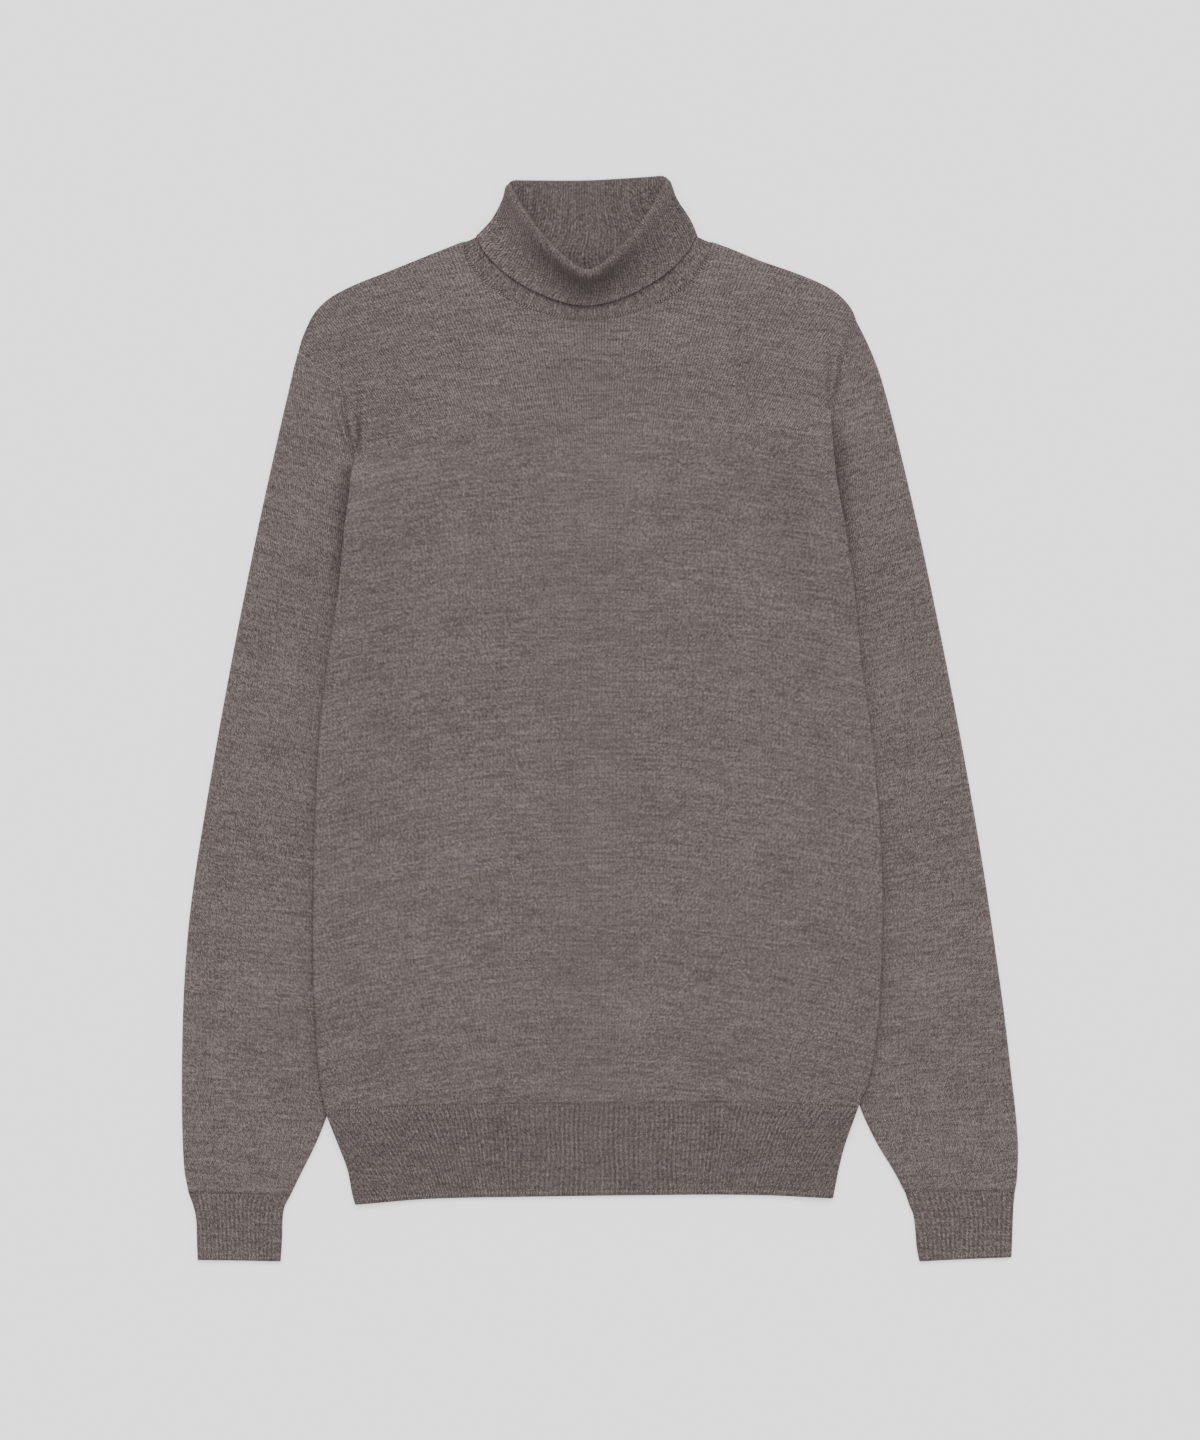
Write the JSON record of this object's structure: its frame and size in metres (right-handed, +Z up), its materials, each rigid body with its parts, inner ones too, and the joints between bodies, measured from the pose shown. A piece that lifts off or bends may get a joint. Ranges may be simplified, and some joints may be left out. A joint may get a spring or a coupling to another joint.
{
  "type": "turtleneck sweater",
  "caption": "Fine-gauge heather wool turtleneck sweater laid flat on its back, with a turned-down ribbed collar, long sleeves, ribbed cuffs and a ribbed hem.",
  "frame": {"origin": "on the surface under the middle of the garment's bounding box", "axes": "+X across the chest towards the wearer's left, which is the right in a view from above, +Y towards the collar, +Z up from the surface out of the front"},
  "size_m": [0.6026, 0.7803, 0.0308],
  "materials": {
    "wool_jersey": "matt heather wool, fine jersey",
    "wool_rib": "matt heather wool, fine rib"
  },
  "bodies": {
    "root": {"front": "wool_jersey", "back": "wool_jersey", "sleeve_left": "wool_jersey", "sleeve_right": "wool_jersey", "hem_front": "wool_rib", "hem_back": "wool_rib", "cuff_left": "wool_rib", "cuff_right": "wool_rib", "collar": "wool_rib"}
  },
  "joints": []
}
